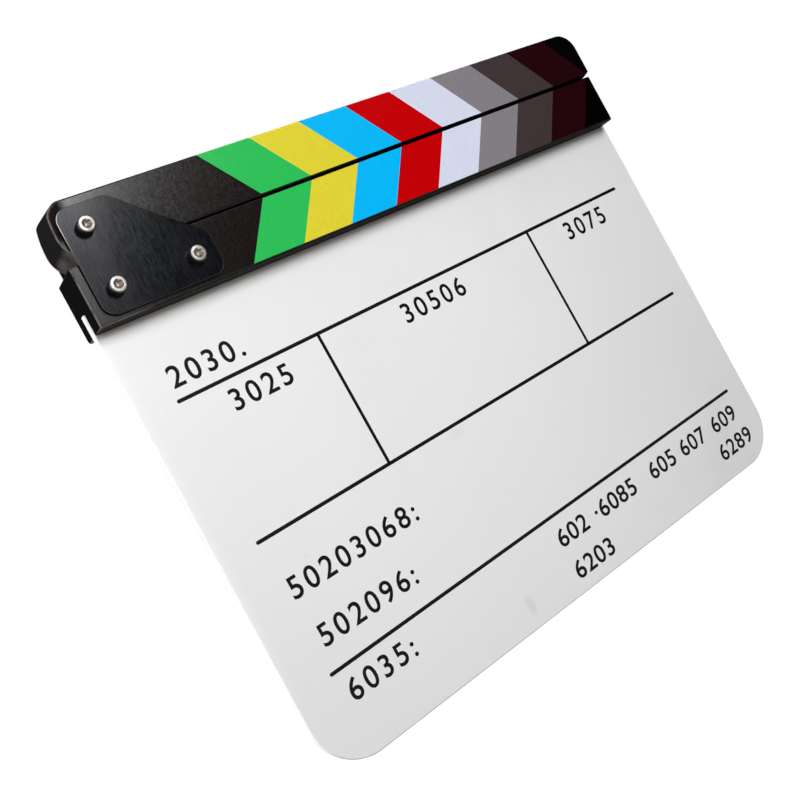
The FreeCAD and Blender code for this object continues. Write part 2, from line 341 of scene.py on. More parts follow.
class Paint:
    """Makes the material of each finish once, and puts it on pieces."""

    def __init__(self) -> None:
        """Start with no material made."""
        self.made: dict[str, bpy.types.Material] = {}

    def material(self, finish: Finish) -> bpy.types.Material:
        """Make a finish's material, or give the one that is there.

        Args:
            finish: The finish.

        Returns:
            Its material.
        """
        if finish.name not in self.made:
            material = bpy.data.materials.new(finish.name)
            material.use_nodes = True
            graph = Graph(material.node_tree)
            graph.output(finish.dress(graph))
            self.made[finish.name] = material
        return self.made[finish.name]

    def on_node(self, node: str, finish: Finish) -> None:
        """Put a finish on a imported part.

        Args:
            node: The part's name.
            finish: Its finish.
        """
        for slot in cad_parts[node].material_slots:
            slot.material = self.material(finish)
        log.info("%s has the finish %s", node, finish.name)

    def on_piece(self, piece: bpy.types.Object, finish: Finish) -> None:
        """Put a finish on a new piece.

        Args:
            piece: The piece.
            finish: Its finish.
        """
        piece.data.materials.clear()
        piece.data.materials.append(self.material(finish))
        log.info("%s has the finish %s", piece.name, finish.name)


@dataclass(frozen=True)
class Fade:
    """Smooth step that follows a value over a surface.

    Attributes:
        start: Value at which the step starts.
        full: Value at which it is full, above or below the start.
        share: Height of the full step.
    """

    start: float
    full: float
    share: float = 1.0

    def of(self, value: Wire) -> Wire:
        """Give the step's height, from 0 to its share, for a value."""
        sockets = {"Value": value, "From Min": self.start, "From Max": self.full, "To Max": self.share}
        return value.graph.node("ShaderNodeMapRange", {"interpolation_type": "SMOOTHSTEP"}, sockets)


@dataclass(frozen=True)
class Grain:
    """Noise whose grains can be longer one way than another.

    Attributes:
        scale: Grains per metre along X, Y and Z.
        detail: How many finer layers it has.
    """

    scale: Triple
    detail: float

    def at(self, place: Wire) -> Wire:
        """Give the noise at a place.

        Args:
            place: Place on the object.

        Returns:
            A value from 0 to 1.
        """
        graph = place.graph
        stretched = graph.node("ShaderNodeVectorMath", {"operation": "MULTIPLY"}, {0: place, 1: self.scale})
        sockets = {"Vector": stretched, "Scale": 1.0, "Detail": self.detail}
        return graph.node("ShaderNodeTexNoise", inputs=sockets, output="Fac")


@dataclass(frozen=True)
class Relief:
    """Fine unevenness of a surface.

    Attributes:
        depth: Depth of a height of 1.
        strength: Share of the effect.
    """

    depth: float
    strength: float

    def of(self, height: Wire) -> Wire:
        """Turn a height from 0 to 1 into a surface direction."""
        sockets = {"Height": height, "Distance": self.depth, "Strength": self.strength}
        return height.graph.node("ShaderNodeBump", inputs=sockets)


class Surface:
    """What a finish can read at each place: where it is and which way it faces."""

    def __init__(self, graph: Graph) -> None:
        """Add the nodes that read a surface.

        Args:
            graph: Nodes to add to.
        """
        self.place = graph.place()
        self.x, self.y, self.z = graph.axes(self.place)
        self.across, self.through, self.up = graph.facing()

    @cached_property
    def level(self) -> Wire:
        """How squarely the surface faces the front or the back, from 0 to 1."""
        return self.through * self.through

    def rounding(self) -> Wire:
        """Tell rounded edges, with 1 half way between a face and a side, and 0 on both."""
        return 4 * self.level * (1 - self.level)

    def end_rounding(self) -> Wire:
        """Tell the rounded edges between an end and the top or the bottom."""
        return 4 * self.across * self.across * self.up * self.up


@dataclass(frozen=True)
class Smear:
    """Faint mark that wiped ink left on the slate.

    Attributes:
        x: Place of its middle along the slate.
        z: Height of its middle.
        half_width: Half of its width.
        half_height: Half of its height.
        share: How strongly it shows.
    """

    x: float
    z: float
    half_width: float
    half_height: float
    share: float

    def on(self, surface: Surface) -> Wire:
        """Give the mark's strength.

        Args:
            surface: The surface that it is on.

        Returns:
            The share in the mark's middle, falling to 0 at its rim.
        """
        across = (surface.x - self.x) / self.half_width
        up = (surface.z - self.z) / self.half_height
        return Fade(1.0, 0.0, self.share).of(across * across + up * up)


@dataclass(frozen=True)
class WhiteAcrylic:
    """Satin white sheet, faintly hazed where marker ink was wiped off, with painted shade, a painted shadow
    and painted light drawn on it.
    """

    name: str = "white_acrylic"
    colour: Colour = srgb(241, 241, 241)
    haze_and_shade_colour: Colour = srgb(222, 222, 223)
    cut_colour: Colour = srgb(222, 218, 215)
    # Painted light: the left edge is drawn lighter than the sheet.
    edge_light_colour: Colour = srgb(252, 252, 253)
    # Painted shadow: the slate is drawn darker just under the lower stick.
    stick_shadow_colour: Colour = srgb(200, 195, 186)
    # Painted shade: the slate is drawn darker towards its right end, its left end and its foot.
    right_shade: Fade = Fade(0.0, 150.0 * MM, 0.42)
    left_shade: Fade = Fade(-80.0 * MM, -145.0 * MM, 0.2)
    foot_shade: Fade = Fade(130.0 * MM, 0.0, 0.46)
    patch_grain: Grain = Grain((14, 14, 14), 4)
    patches: Fade = Fade(0.5, 0.78)
    patch_haze: float = 0.25
    speck_grain: Grain = Grain((260, 260, 260), 2)
    specks: Fade = Fade(0.72, 0.8, 0.2)
    smears: tuple[Smear, ...] = (
        Smear(-35.2 * MM, 10.5 * MM, 3.0 * MM, 6.0 * MM, 0.56),
        Smear(-27.0 * MM, 91.8 * MM, 6.0 * MM, 3.4 * MM, 0.32),
    )
    front: Fade = Fade(0.0, -1.0 * MM)
    cut_edge: Fade = Fade(0.98, 0.7)
    left_edge: Fade = Fade(-0.5, -0.68)
    # Painted light along the left edge, fading out towards the foot.
    glow: Fade = Fade(-145.0 * MM, -150.0 * MM, 0.35)
    glow_height: Fade = Fade(10.0 * MM, 80.0 * MM)
    # Painted shadow under the lower stick, on the slate's front and back faces.
    painted_stick_shadow: Fade = Fade(190.0 * MM, 193.2 * MM)
    stick_shadow_face: Fade = Fade(0.9, 0.99)
    roughness: float = 0.34
    wiping: Grain = Grain((25, 25, 210), 4)
    wiping_swing: float = 0.1
    patch_roughness: float = 0.06
    waves: Grain = Grain((90, 90, 90), 2)
    wave_relief: Relief = Relief(0.06 * MM, 0.25)

    def haze_and_shade(self, surface: Surface, patches: Wire) -> Wire:
        """Give the share of haze and of painted shade.

        Args:
            surface: The slate's surface.
            patches: Noise in large patches.

        Returns:
            Painted shade towards the sides and the foot, and haze in patches and specks and in the wiped
            marks.
        """
        marks = reduce(Wire.largest, [smear.on(surface) for smear in self.smears])
        # Painted shade towards the right end, the left end and the foot.
        wear = self.right_shade.of(surface.x) + self.left_shade.of(surface.x) + self.foot_shade.of(surface.z)
        specks = self.specks.of(self.speck_grain.at(surface.place))
        return wear + self.patch_haze * patches + specks + marks * self.front.of(surface.y)

    def dress(self, graph: Graph) -> Wire:
        """Give the shader: haze and painted shade, wiping marks in the gloss, clear edges with painted light
        on the left one, and a painted shadow under the stick.

        Args:
            graph: Nodes to add to.

        Returns:
            The shader.
        """
        surface = Surface(graph)
        facing = abs(surface.through)
        patches = self.patches.of(self.patch_grain.at(surface.place))
        cut = self.cut_edge.of(facing)
        # Painted light on the left edge.
        glow = self.glow.of(surface.x) * self.glow_height.of(surface.z)
        edge_light = glow.largest(cut * self.left_edge.of(surface.across))
        # Painted shadow under the lower stick.
        painted_stick_shadow = self.painted_stick_shadow.of(surface.z) * self.stick_shadow_face.of(facing)
        colour = graph.mix(self.haze_and_shade(surface, patches), self.colour, self.haze_and_shade_colour)
        for share, shade in ((cut, self.cut_colour), (edge_light, self.edge_light_colour), (painted_stick_shadow, self.stick_shadow_colour)):
            colour = graph.mix(share, colour, shade)
        wiped = self.wiping.at(surface.place).swing(self.wiping_swing)
        return graph.principled({
            "Base Color": colour,
            "Roughness": self.roughness + wiped + self.patch_roughness * patches,
            "Normal": self.wave_relief.of(self.waves.at(surface.place)),
        })


@dataclass(frozen=True)
class StripedFilm:
    """Printed film with slanted stripes that meet in a chevron where the two sticks close."""

    name: str
    first_stripe: float
    stripe_width: float
    slant: float = 0.757
    border: float = 1.0 * MM
    border_blur: float = 0.05 * MM
    mottling: Grain = Grain((1100, 1100, 800), 3)
    print_fibres: Grain = Grain((900, 900, 80), 3)
    fibre_share: float = 0.35
    shade: Fade = Fade(0.34, 0.66)
    dark_share: float = 0.94
    roughness: float = 0.2
    gloss: float = 0.26
    fibres: Grain = Grain((900, 900, 80), 4)
    fibre_swing: float = 0.06
    skin: Grain = Grain((1300, 1300, 1000), 3)
    skin_swing: float = 0.2
    skin_share: float = 0.88
    relief: Relief = Relief(0.05 * MM, 0.24)
    rubbed_along: Fade = Fade(-137.0 * MM, -142.0 * MM)
    rubbed_height: Fade = Fade(224.0 * MM, 231.0 * MM)
    rubbed_gloss: float = 0.05

    def colour(self, graph: Graph, place: Wire) -> Wire:
        """Colour of the print.

        Args:
            graph: Nodes to add to.
            place: Place on the object.

        Returns:
            The stripes' colour, with the print's fine mottling.
        """
        x, _, z = graph.axes(place)
        away = abs(z - MATING_HEIGHT)
        along = x + self.slant * away
        stripe = ((along - self.first_stripe) / self.stripe_width).floor()
        count = len(Stripe)
        stops = [(index / count, choice.value) for index, choice in enumerate(Stripe)]
        steps = {"stops": stops, "steps": "CONSTANT"}
        # The first colour lies before the first stripe, and each is read at the middle of its step.
        print_colour = graph.node("ShaderNodeValToRGB", steps, {"Fac": (stripe + 1.5) / count})
        mottling = self.mottling.at(place).blend(self.print_fibres.at(place), self.fibre_share)
        dark = {"Value": self.dark_share, "Color": print_colour}
        darker = graph.node("ShaderNodeHueSaturation", inputs=dark)
        mottled = graph.mix(self.shade.of(mottling), darker, print_colour)
        printed = Fade(self.border, self.border + self.border_blur).of(away)
        return graph.mix(printed, Stripe.TIP_BLACK.value, mottled)

    def dress(self, graph: Graph) -> Wire:
        """Give the shader: the print under a satin skin, which is rubbed dull at the clap stick's crown.

        Args:
            graph: Nodes to add to.

        Returns:
            The shader.
        """
        place = graph.place()
        x, _, z = graph.axes(place)
        colour = self.colour(graph, place)
        fibres = self.fibres.at(place)
        skin = self.skin.at(place)
        relief = self.relief.of(fibres.blend(skin, self.skin_share))
        satin = graph.principled({
            "Base Color": colour,
            "Roughness": self.roughness + fibres.swing(self.fibre_swing) + skin.swing(self.skin_swing),
            "Specular IOR Level": self.gloss,
            "Normal": relief,
        })
        dull = graph.principled({
            "Base Color": colour,
            "Roughness": DULL_ROUGHNESS,
            "Specular IOR Level": self.rubbed_gloss,
            "Normal": relief,
        })
        rubbed = self.rubbed_along.of(x) * self.rubbed_height.of(z)
        return graph.blend(rubbed, satin, dull)


@dataclass(frozen=True)
class PaintedWood:
    """Black paint over wood, rubbed thin along the edges, with painted light, sheen and shade drawn on it.

    The film on its front may lap over its top edge.
    """

    name: str = "painted_wood"
    colour: Colour = srgb(13, 11, 11)
    pale_colour: Colour = srgb(28, 25, 24)
    wear_dust_and_light_colour: Colour = srgb(128, 120, 114)
    # Painted sheen: the matt end faces are drawn lighter than the paint.
    end_sheen_colour: Colour = srgb(19, 18, 19)
    # Painted shade in the slit where the sticks close.
    slit_shade_colour: Colour = srgb(3, 3, 3)
    square_ends: bool = True
    film: StripedFilm | None = None
    film_lap: Fade = Fade(244.0 * MM, 244.1 * MM)
    film_side: Fade = Fade(-0.02, -0.1)
    grain: Grain = Grain((45, 620, 620), 5)
    pores: Grain = Grain((220, 2600, 2600), 3)
    scuffs: Grain = Grain((170, 170, 170), 4)
    tone: Fade = Fade(0.36, 0.66)
    tone_pores: float = 0.35
    end_face: Fade = Fade(0.3, 0.7)
    hinge_end: Fade = Fade(-118.0 * MM, -140.0 * MM)
    wear_and_heel_light_share: float = 0.8
    worn_edge: Fade = Fade(0.4, 0.9)
    edge_scuffs: Fade = Fade(0.3, 0.5)
    # Painted light: the heel, which faces down and to the left, is drawn lighter as if lit from below.
    heel_side: Fade = Fade(-0.2, -0.5)
    heel_below: Fade = Fade(-0.3, -0.6)
    heel_scuffs: Fade = Fade(0.2, 0.6, 0.6)
    dust_face: Fade = Fade(0.6, 0.9, 0.18)
    dust_along: Fade = Fade(-146.0 * MM, -141.0 * MM)
    dust_scuffs: Fade = Fade(0.35, 0.65)
    # Painted sheen: the crown's flare at the hinge end is drawn lighter.
    flare_side: Fade = Fade(-0.06, -0.2)
    flare_face: Fade = Fade(0.4, 0.7)
    flare_height: Fade = Fade(240.0 * MM, 233.0 * MM)
    flare_scuffs: Fade = Fade(0.25, 0.5, 0.5)
    # Painted shade in the closing slit, deeper towards the free end.
    slit: Fade = Fade(1.2 * MM, 1.0 * MM)
    slit_least: float = 0.4
    slit_along: Fade = Fade(-70.0 * MM, 40.0 * MM, 0.6)
    roughness: float = 0.34
    gloss: float = 0.28
    grain_swing: float = 0.18
    worn_smoothing: float = 0.06
    relief: Relief = Relief(0.12 * MM, 0.4)
    relief_pores: float = 0.4
    polished_face: Fade = Fade(0.6, 0.9)
    polished_below: Fade = Fade(0.4, 0.15)
    underside: Fade = Fade(-0.9, -0.99)
    underside_polish: float = 0.34
    handled: Fade = Fade(-120.0 * MM, 20.0 * MM, 0.5)

    def wear_and_heel_light(self, surface: Surface, scuffs: Wire) -> Wire:
        """Give the share of paint rubbed off the edges, and of painted light on the heel, at the hinge end.

        Args:
            surface: The wood's surface.
            scuffs: Noise that breaks the wear and the painted light up.

        Returns:
            A share from 0 to 1.
        """
        edge = surface.rounding()
        if self.square_ends:
            edge = edge + surface.end_rounding()
        edges = self.worn_edge.of(edge) * self.edge_scuffs.of(scuffs)
        # Painted light on the heel.
        heel = self.heel_side.of(surface.across) * self.heel_below.of(surface.up)
        return self.hinge_end.of(surface.x) * edges.largest(heel * self.heel_scuffs.of(scuffs))

    def dust_and_sheen(self, surface: Surface, scuffs: Wire) -> Wire:
        """Give the share of dust on the front, and of painted sheen on the crown's flare, at the hinge end.

        Args:
            surface: The wood's surface.
            scuffs: Noise that breaks the dust and the painted sheen up.

        Returns:
            A share from 0 to 1.
        """
        front = self.dust_face.of(surface.level) * self.dust_along.of(surface.x)
        front = front * self.dust_scuffs.of(scuffs)
        # Painted sheen on the crown's flare.
        flare = self.flare_side.of(surface.across) * self.flare_face.of(surface.level)
        flare = flare * self.flare_height.of(surface.z) * self.flare_scuffs.of(scuffs)
        return self.hinge_end.of(surface.x) * front.largest(flare)

    def dress(self, graph: Graph) -> Wire:
        """Give the shader: long grain, wear at the hinge end with painted light and sheen there, painted
        sheen on the ends, the film's lap and painted shade in the closing slit.

        Args:
            graph: Nodes to add to.

        Returns:
            The shader.
        """
        surface = Surface(graph)
        grain = self.grain.at(surface.place)
        pores = self.pores.at(surface.place)
        scuffs = self.scuffs.at(surface.place)
        wear_and_heel_light = self.wear_and_heel_light(surface, scuffs)
        colour = graph.mix(self.tone.of(grain.blend(pores, self.tone_pores)), self.colour, self.pale_colour)
        # Painted sheen on the ends.
        colour = graph.mix(self.end_face.of(abs(surface.across)), colour, self.end_sheen_colour)
        # Real wear and dust, mixed with painted light on the heel and painted sheen on the crown's flare.
        rubbed = (self.wear_and_heel_light_share * wear_and_heel_light).largest(self.dust_and_sheen(surface, scuffs))
        colour = graph.mix(rubbed, colour, self.wear_dust_and_light_colour)
        if self.film is not None:
            lap = self.film_lap.of(surface.z) * self.film_side.of(surface.through)
            colour = graph.mix(lap, colour, self.film.colour(graph, surface.place))
        # Painted shade in the closing slit, with no gloss there.
        slit = self.slit.of(abs(surface.z - MATING_HEIGHT))
        open_face = 1 - slit * (self.slit_least + self.slit_along.of(surface.x))
        colour = graph.mix(open_face, self.slit_shade_colour, colour)
        relief = self.relief.of(grain.blend(pores, self.relief_pores))
        satin = graph.principled({
            "Base Color": colour,
            "Roughness": self.roughness + grain.swing(self.grain_swing) - self.worn_smoothing * wear_and_heel_light,
            "Specular IOR Level": self.gloss,
            "Normal": relief,
        })
        matt = graph.principled({
            "Base Color": colour,
            "Roughness": DULL_ROUGHNESS,
            "Specular IOR Level": 0.0,
            "Normal": relief,
        })
        handled = self.underside_polish * (1 - self.handled.of(surface.x))
        polished = self.polished_face.of(surface.level) * self.polished_below.of(surface.up)
        polished = polished.largest(handled * self.underside.of(surface.up))
        return graph.blend(polished * open_face, matt, satin)


@dataclass(frozen=True)
class CoatedPlate:
    """Satin black coating on sheet metal, with bright bare metal where its edges are rubbed."""

    name: str = "coated_plate"
    colour: Colour = srgb(6, 7, 11)
    pale_colour: Colour = srgb(12, 13, 18)
    bare_colour: Colour = srgb(214, 210, 205)
    edge: Fade = Fade(0.5, 0.95)
    slope_side: Fade = Fade(-0.35, 0.1)
    slope_up: Fade = Fade(0.2, 0.5)
    side_face: Fade = Fade(0.2, 0.6)
    wear: float = 1.0
    least_wear: float = 0.14
    worn_height: Fade = Fade(220.0 * MM, 236.0 * MM, 0.86)
    scuff_grain: Grain = Grain((150, 150, 150), 4)
    scuffs: Fade = Fade(0.26, 0.46)
    coat: Grain = Grain((1600, 1600, 300), 3)
    touches: Grain = Grain((60, 60, 60), 4)
    tone: Fade = Fade(0.36, 0.64)
    tone_touches: float = 0.5
    roughness: float = 0.17
    touch_swing: float = 0.08
    coat_swing: float = 0.12
    gloss: float = 0.21
    gloss_tint: Colour = (0.94, 0.95, 1.0, 1.0)
    relief: Relief = Relief(0.04 * MM, 0.2)
    dull_side: Fade = Fade(-134.0 * MM, -144.0 * MM, 0.36)

    def dress(self, graph: Graph) -> Wire:
        """Give the shader: a fine coated texture, bare metal on the side edges, and a dull sloping edge.

        Args:
            graph: Nodes to add to.

        Returns:
            The shader.
        """
        surface = Surface(graph)
        edge = self.edge.of(surface.rounding())
        slope = edge * self.slope_side.of(surface.across) * self.slope_up.of(surface.up)
        side = edge * self.side_face.of(abs(surface.across)) - slope
        share = self.wear * (self.least_wear + self.worn_height.of(surface.z))
        rubbed = side * share * self.scuffs.of(self.scuff_grain.at(surface.place))
        coat = self.coat.at(surface.place)
        touches = self.touches.at(surface.place)
        tone = self.tone.of(coat.blend(touches, self.tone_touches))
        colour = graph.mix(tone, self.colour, self.pale_colour)
        satin = graph.principled({
            "Base Color": graph.mix(rubbed, colour, self.bare_colour),
            "Metallic": rubbed,
            "Roughness": self.roughness + touches.swing(self.touch_swing) + coat.swing(self.coat_swing),
            "Specular IOR Level": self.gloss,
            "Specular Tint": self.gloss_tint,
            "Normal": self.relief.of(coat),
        })
        dull = graph.principled({
            "Base Color": colour,
            "Roughness": DULL_ROUGHNESS,
            "Specular IOR Level": 0.0,
        })
        handled = self.dull_side.of(surface.x) * (1 - rubbed)
        return graph.blend(slope.largest(handled), satin, dull)


@dataclass(frozen=True)
class Metal:
    """Plated or turned metal, with a faint tint and fine marks."""

    name: str
    colour: Colour
    tint: Colour
    roughness: float
    relief: Relief = Relief(0.01 * MM, 0.25)
    # Painted shade: the sides of a head are drawn darker than its flat face.
    side_shade_colour: Colour | None = None
    # Painted light: the socket is drawn lighter and warmer than the head.
    socket_light_colour: Colour | None = None
    patches: Grain = Grain((420, 420, 420), 3)
    patch_tint: Fade = Fade(0.35, 0.7)
    patch_swing: float = 0.08
    marks: Grain = Grain((900, 5200, 900), 3)
    mark_swing: float = 0.14
    flat_face: Fade = Fade(0.9, 0.99)

    def dress(self, graph: Graph) -> Wire:
        """Give the shader: a tint in patches, fine marks in the gloss and, if asked for, painted shade on
        the sides and painted light in the socket.

        Args:
            graph: Nodes to add to.

        Returns:
            The shader.
        """
        place = graph.place()
        patches = self.patches.at(place)
        marks = self.marks.at(place)
        colour = graph.mix(self.patch_tint.of(patches), self.colour, self.tint)
        # Painted shade on the sides.
        if self.side_shade_colour is not None:
            flat = self.flat_face.of(abs(graph.facing()[1]))
            colour = graph.mix(flat, self.side_shade_colour, colour)
        # Painted light in the socket.
        if self.socket_light_colour is not None:
            mark = graph.node("ShaderNodeAttribute", {"attribute_name": SOCKET_MARK}, output="Fac")
            colour = graph.mix(mark, colour, self.socket_light_colour)
        return graph.principled({
            "Base Color": colour,
            "Metallic": 1.0,
            "Roughness": self.roughness + marks.swing(self.mark_swing) + patches.swing(self.patch_swing),
            "Normal": self.relief.of(marks),
        })


@dataclass(frozen=True)
class Nylon:
    """Natural nylon, a little cloudy."""

    name: str = "natural_nylon"
    colour: Colour = srgb(226, 222, 212)
    cloud_colour: Colour = srgb(206, 200, 186)
    clouds: Grain = Grain((300, 300, 300), 3)
    cloud_tint: Fade = Fade(0.35, 0.7)
    roughness: float = 0.5
    ridges: Grain = Grain((1500, 1500, 1500), 2)
    ridge_swing: float = 0.1
    relief: Relief = Relief(0.03 * MM, 0.3)

    def dress(self, graph: Graph) -> Wire:
        """Give the shader: soft clouds and a faintly ridged skin.

        Args:
            graph: Nodes to add to.

        Returns:
            The shader.
        """
        place = graph.place()
        clouds = self.cloud_tint.of(self.clouds.at(place))
        ridges = self.ridges.at(place)
        return graph.principled({
            "Base Color": graph.mix(clouds, self.colour, self.cloud_colour),
            "Roughness": self.roughness + ridges.swing(self.ridge_swing),
            "Normal": self.relief.of(ridges),
        })


@dataclass(frozen=True)
class Ink:
    """Black printing ink, a little thinner in spots."""

    name: str = "slate_ink"
    colour: Colour = srgb(6, 5, 7)
    thin_colour: Colour = srgb(22, 21, 24)
    spots: Grain = Grain((1600, 1600, 1600), 3)
    thin_spots: Fade = Fade(0.5, 0.75)
    roughness: float = 0.46
    spot_swing: float = 0.12
    gloss: float = 0.08
    relief: Relief = Relief(0.02 * MM, 0.3)

    def dress(self, graph: Graph) -> Wire:
        """Give the shader: fine spots where the ink is thin.

        Args:
            graph: Nodes to add to.

        Returns:
            The shader.
        """
        spots = self.spots.at(graph.place())
        return graph.principled({
            "Base Color": graph.mix(self.thin_spots.of(spots), self.colour, self.thin_colour),
            "Roughness": self.roughness + spots.swing(self.spot_swing),
            "Specular IOR Level": self.gloss,
            "Normal": self.relief.of(spots),
        })


SCREW_NICKEL = Metal(
    "screw_nickel",
    srgb(137, 134, 132),
    srgb(115, 113, 111),
    0.38,
    # Painted shade on the head's sides.
    side_shade_colour=srgb(72, 69, 67),
    # Painted light in the socket.
    socket_light_colour=srgb(156, 147, 137),
)
MAGNET_NICKEL = Metal("magnet_nickel", srgb(205, 203, 199), srgb(184, 182, 178), 0.24)
ZINC = Metal("zinc_plating", srgb(196, 199, 203), srgb(178, 176, 164), 0.34, Relief(0.02 * MM, 0.25))
BRASS = Metal("turned_brass", srgb(214, 182, 112), srgb(196, 160, 88), 0.3, Relief(0.02 * MM, 0.25))


class Bench:
    """Modelling steps that the sub-assemblies share."""

    @staticmethod
    def clear_selection() -> None:
        """Deselect every object."""
        bpy.ops.object.select_all(action="DESELECT")

    @staticmethod
    def settle(piece: bpy.types.Object, name: str) -> bpy.types.Object:
        """Name a piece and put its place into its mesh.

        Args:
            piece: The piece, which is the active object.
            name: Its name.

        Returns:
            The piece.
        """
        piece.name = name
        piece.data.name = name
        bpy.ops.object.transform_apply(location=True, rotation=True, scale=True)
        return piece

    @staticmethod
    def block(name: str, low: Vector, high: Vector) -> bpy.types.Object:
        """Add a box between two corners.

        Args:
            name: The piece's name.
            low: Lowest corner.
            high: Highest corner.

        Returns:
            The piece, active and selected alone.
        """
        Bench.clear_selection()
        bpy.ops.mesh.primitive_cube_add(size=1, location=(low + high) / 2, scale=high - low)
        return Bench.settle(bpy.context.active_object, name)

    @staticmethod
    def start_selection(element: Element) -> None:
        """Empty the active piece's selection, ready for one kind of element.

        Args:
            element: The kind of element to be selected next.
        """
        bpy.ops.object.mode_set(mode="EDIT")
        bpy.ops.mesh.select_mode(type=element.value)
        bpy.ops.mesh.select_all(action="DESELECT")
        bpy.ops.object.mode_set(mode="OBJECT")

    @staticmethod
    def select_edges(piece: bpy.types.Object, wanted: Callable[[Vector, Vector], bool]) -> None:
        """Go into edit mode with some edges selected.

        Args:
            piece: The active piece.
            wanted: Tells from an edge's two ends whether it is selected.
        """
        Bench.start_selection(Element.EDGE)
        corners = piece.data.vertices
        for edge in piece.data.edges:
            edge.select = wanted(corners[edge.vertices[0]].co, corners[edge.vertices[1]].co)
        bpy.ops.object.mode_set(mode="EDIT")

    @staticmethod
    def select_faces(piece: bpy.types.Object, wanted: Callable[[Vector, Vector], bool]) -> None:
        """Go into edit mode with some faces selected.

        Args:
            piece: The active piece.
            wanted: Tells from a face's middle and direction whether it is selected.
        """
        Bench.start_selection(Element.FACE)
        for face in piece.data.polygons:
            face.select = wanted(face.center, face.normal)
        bpy.ops.object.mode_set(mode="EDIT")

    @staticmethod
    def move_corners(piece: bpy.types.Object, wanted: Callable[[Vector], bool], shift: Triple) -> None:
        """Move some corners of a piece in edit mode.

        Args:
            piece: The active piece.
            wanted: Tells from a corner's place whether it moves.
            shift: How far it moves.
        """
        Bench.start_selection(Element.CORNER)
        for corner in piece.data.vertices:
            corner.select = wanted(corner.co)
        bpy.ops.object.mode_set(mode="EDIT")
        bpy.ops.transform.translate(value=shift)
        bpy.ops.object.mode_set(mode="OBJECT")

    @staticmethod
    def join(pieces: Sequence[bpy.types.Object], name: str) -> bpy.types.Object:
        """Join pieces into one.

        Args:
            pieces: The pieces.
            name: Name of the joined piece.

        Returns:
            The joined piece.
        """
        Bench.clear_selection()
        for piece in pieces:
            piece.select_set(True)
        bpy.context.view_layer.objects.active = pieces[0]
        bpy.ops.object.join()
        return Bench.settle(pieces[0], name)

    @staticmethod
    def copy(piece: bpy.types.Object, shift: float) -> bpy.types.Object:
        """Copy a piece to a place further along X.

        Args:
            piece: The piece.
            shift: How far the copy is moved.

        Returns:
            The copy, with its own mesh.
        """
        Bench.clear_selection()
        piece.select_set(True)
        bpy.context.view_layer.objects.active = piece
        bpy.ops.object.duplicate()
        bpy.ops.transform.translate(value=(shift, 0, 0))
        return Bench.settle(bpy.context.active_object, piece.name + "_copy")

    @staticmethod
    def cut(piece: bpy.types.Object, cutter: bpy.types.Object) -> None:
        """Cut one piece out of another and remove the cutter.

        Args:
            piece: The piece that stays.
            cutter: The piece that is cut out of it.
        """
        Bench.clear_selection()
        piece.select_set(True)
        bpy.context.view_layer.objects.active = piece
        modifier = piece.modifiers.new("cut", "BOOLEAN")
        modifier.operation = "DIFFERENCE"
        modifier.solver = "EXACT"
        modifier.object = cutter
        bpy.ops.object.modifier_apply(modifier=modifier.name)
        bpy.data.objects.remove(cutter)

    @staticmethod
    def ride_on_board(piece: bpy.types.Object, slot: Slot) -> None:
        """Let a finished piece ride on the board.

        Args:
            piece: The piece.
            slot: The record's slot that its finish belongs to; not used.
        """
        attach(piece, BOARD)
        log.info("%s rides on the %s", piece.name, BOARD)


@dataclass(frozen=True)
class Lettering:
    """Proportions of printed numbers.

    Attributes:
        height: Height of a digit.
        breadth: Breadth of a digit, as a share of the usual one.
        spacing: Distance between digits, as a share of the usual one.
    """

    height: float
    breadth: float
    spacing: float


LARGE = Lettering(8.9 * MM, 1.0, 1.25)
SMALL = Lettering(8.1 * MM, 1.1, 1.07)


@dataclass(frozen=True)
class Field:
    """Plain number that stands in a field of the slate.

    Attributes:
        digits: The number.
        x: Place of its left side.
        z: Height that it stands on.
        lettering: Its proportions.
    """

    digits: str
    x: float
    z: float
    lettering: Lettering = LARGE


